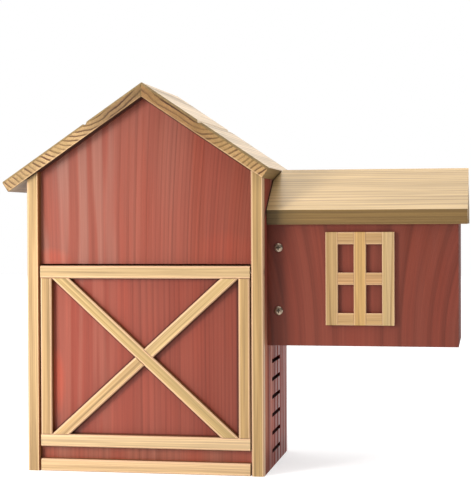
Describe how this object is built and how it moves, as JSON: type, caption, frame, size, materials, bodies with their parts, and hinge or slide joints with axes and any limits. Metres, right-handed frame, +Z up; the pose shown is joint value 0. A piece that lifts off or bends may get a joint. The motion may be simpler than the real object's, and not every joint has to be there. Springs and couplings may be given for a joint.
{
  "type": "squirrel house",
  "caption": "Wooden squirrel house with a barn front, a door that swings out and up, and a roofed side wing whose open floor leads to a round entrance.",
  "frame": {"origin": "middle of the underside of the main body", "axes": "+X towards the wing, +Y to the back, +Z up; the door is on the -Y side"},
  "size_m": [0.5749, 0.208, 0.4833],
  "materials": {
    "red_stain": "semi-transparent red stain over softwood, grain showing, satin",
    "pale_wood": "bare pale softwood, planed, edges eased",
    "steel": "bright zinc-plated screws, disc and magnet"
  },
  "bodies": {
    "house": {"floor": "red_stain", "left_wall": "red_stain", "right_wall": "red_stain", "back_panel": "red_stain", "gable_panel": "red_stain", "sill_panel": "red_stain", "left_corner_trim": "pale_wood", "right_corner_trim": "pale_wood", "base_trim": "pale_wood", "left_stop_cleat": "pale_wood", "right_stop_cleat": "pale_wood", "roof_left": "pale_wood", "roof_right": "pale_wood", "catch_block": "pale_wood", "catch_magnet": "steel", "pivot_screws": "steel", "back_screws": "steel", "wing_front_wall": "red_stain", "wing_back_wall": "red_stain", "wing_end_wall": "red_stain", "wing_floor": "red_stain", "wing_front_cleat": "pale_wood", "wing_back_cleat": "pale_wood", "wing_roof_front": "pale_wood", "wing_roof_back": "pale_wood", "wing_screws": "steel", "window_left_stile": "pale_wood", "window_right_stile": "pale_wood", "window_mullion": "pale_wood", "window_top_rails": "pale_wood", "window_middle_rails": "pale_wood", "window_bottom_rails": "pale_wood"},
    "door": {"door_panel": "red_stain", "door_top_rail": "pale_wood", "door_bottom_rail": "pale_wood", "door_left_stile": "pale_wood", "door_right_stile": "pale_wood", "door_long_brace": "pale_wood", "door_lower_brace": "pale_wood", "door_upper_brace": "pale_wood", "catch_strike": "steel"}
  },
  "joints": [
    {"name": "door_pivot", "type": "hinge", "parent": "house", "child": "door", "pos_m": [0, -0.095, 0.24925], "axis": [-1, 0, 0], "range_deg": [0, 160]}
  ]
}
